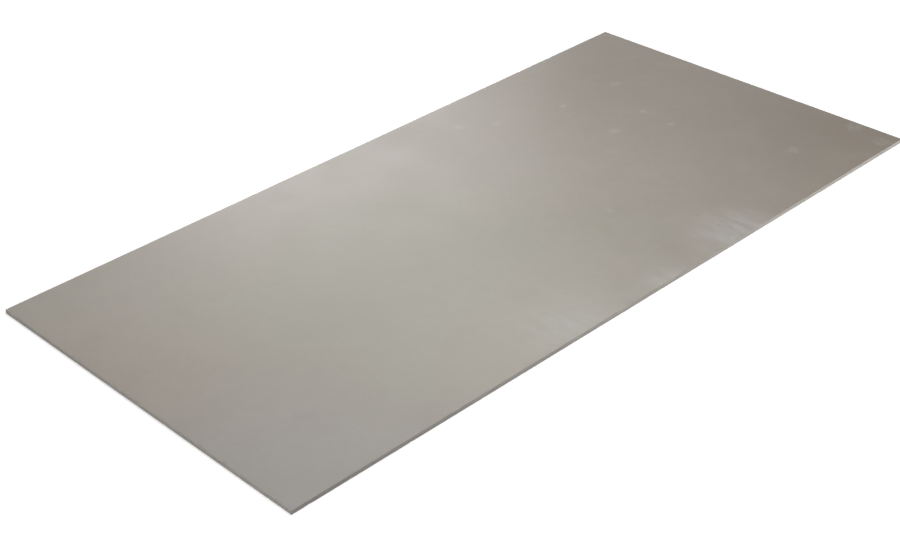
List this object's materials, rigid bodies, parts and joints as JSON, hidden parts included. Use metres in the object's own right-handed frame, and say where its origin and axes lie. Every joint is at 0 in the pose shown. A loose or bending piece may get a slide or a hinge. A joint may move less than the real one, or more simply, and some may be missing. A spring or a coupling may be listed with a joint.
{
  "type": "fiber cement board",
  "caption": "Flat rectangular sheet of grey fiber cement with square-cut, lightly eased edges, for lining, cladding or tile backing.",
  "frame": {"origin": "middle of the back face, which lies on the floor", "axes": "+Z from the back face to the smooth front face, +X along the long side, +Y along the short side"},
  "size_m": [2.4, 1.2, 0.012],
  "materials": {
    "fiber_cement": "pressed smooth, matt with a faint sheen"
  },
  "bodies": {
    "root": {"fiber_cement_board": "fiber_cement"}
  },
  "joints": []
}
